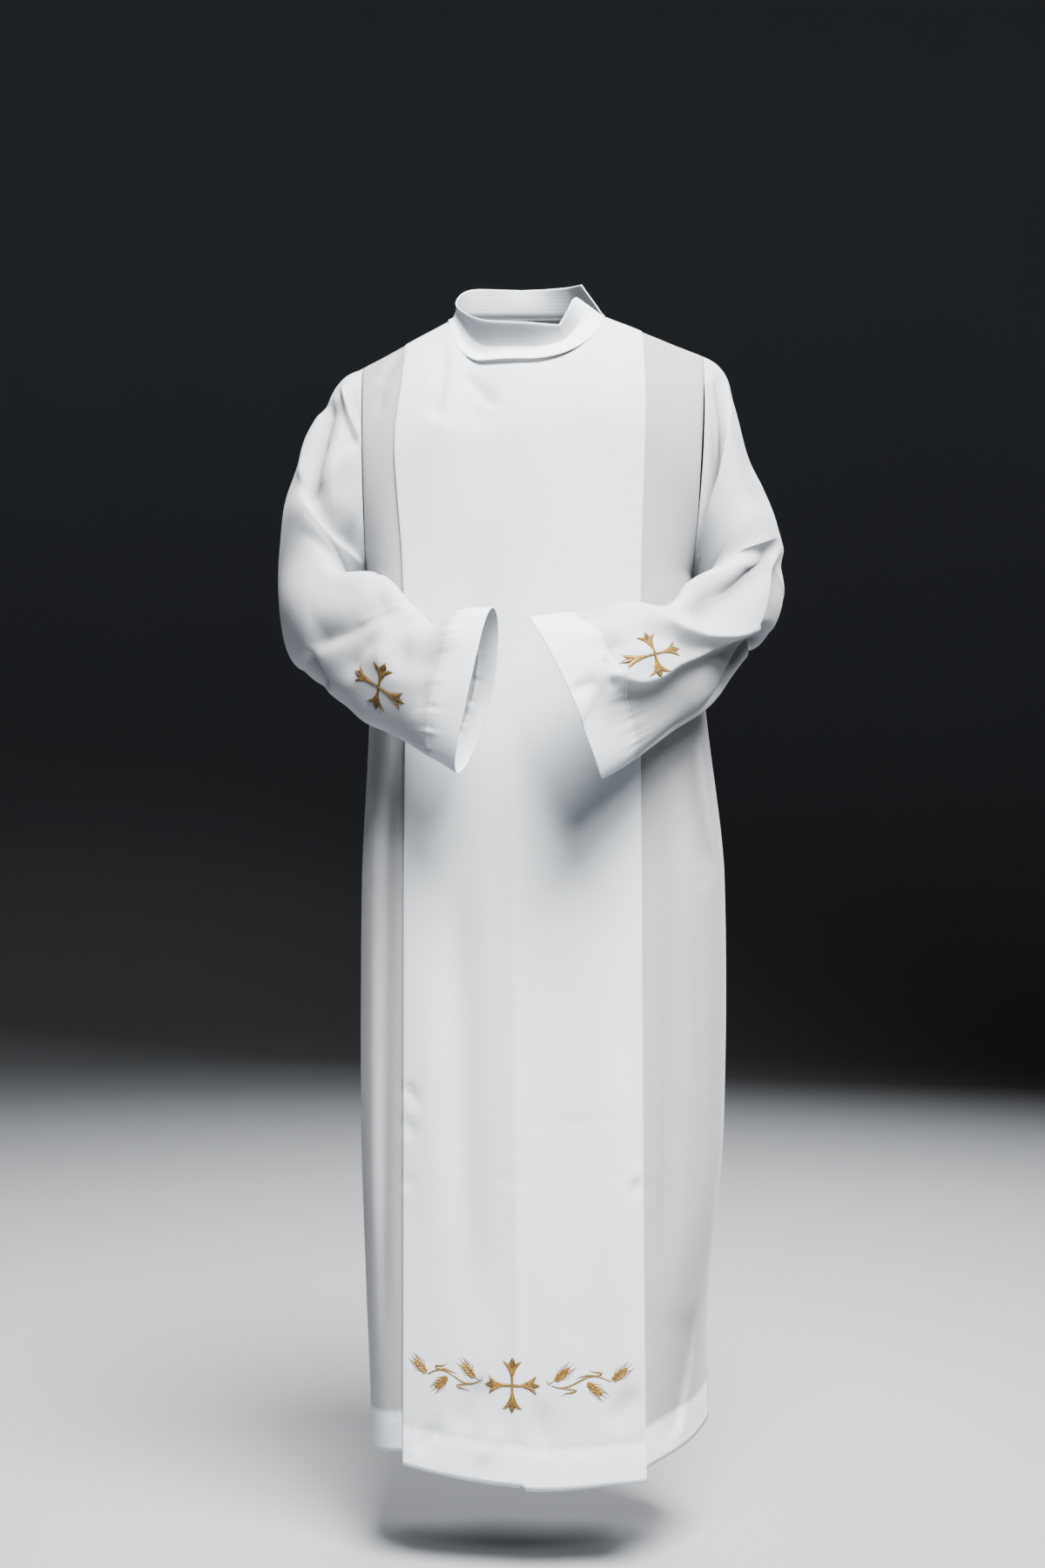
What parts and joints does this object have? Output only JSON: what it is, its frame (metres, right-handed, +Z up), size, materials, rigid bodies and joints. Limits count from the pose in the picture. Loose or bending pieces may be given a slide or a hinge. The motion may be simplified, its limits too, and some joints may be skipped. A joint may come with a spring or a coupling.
{
  "type": "alb robe",
  "caption": "Full-length white alb worn hollow: box-pleated front, plain back, wide set-in sleeves bent forward, stand collar and gold embroidery.",
  "frame": {"origin": "middle of the neckline at shoulder-seam level, where the wearer's shoulders hold the robe", "axes": "+Z up along the body, -Y out of the front panel, +X towards the wearer's left"},
  "size_m": [0.6494, 0.4597, 1.5004],
  "materials": {
    "white_cloth": "plain-weave white polyester, matt with a faint sheen",
    "gold_thread": "satin-stitched gold embroidery thread"
  },
  "bodies": {
    "root": {"front": "white_cloth", "back": "white_cloth", "sleeve_right": "white_cloth", "sleeve_left": "white_cloth", "collar": "white_cloth", "hem_cross": "gold_thread", "sleeve_cross_right": "gold_thread", "sleeve_cross_left": "gold_thread", "wheat_stem_right": "gold_thread", "wheat_stem_left": "gold_thread", "wheat_ear_right_1": "gold_thread", "wheat_ear_right_2": "gold_thread", "wheat_ear_right_3": "gold_thread", "wheat_ear_left_1": "gold_thread", "wheat_ear_left_2": "gold_thread", "wheat_ear_left_3": "gold_thread"}
  },
  "joints": []
}
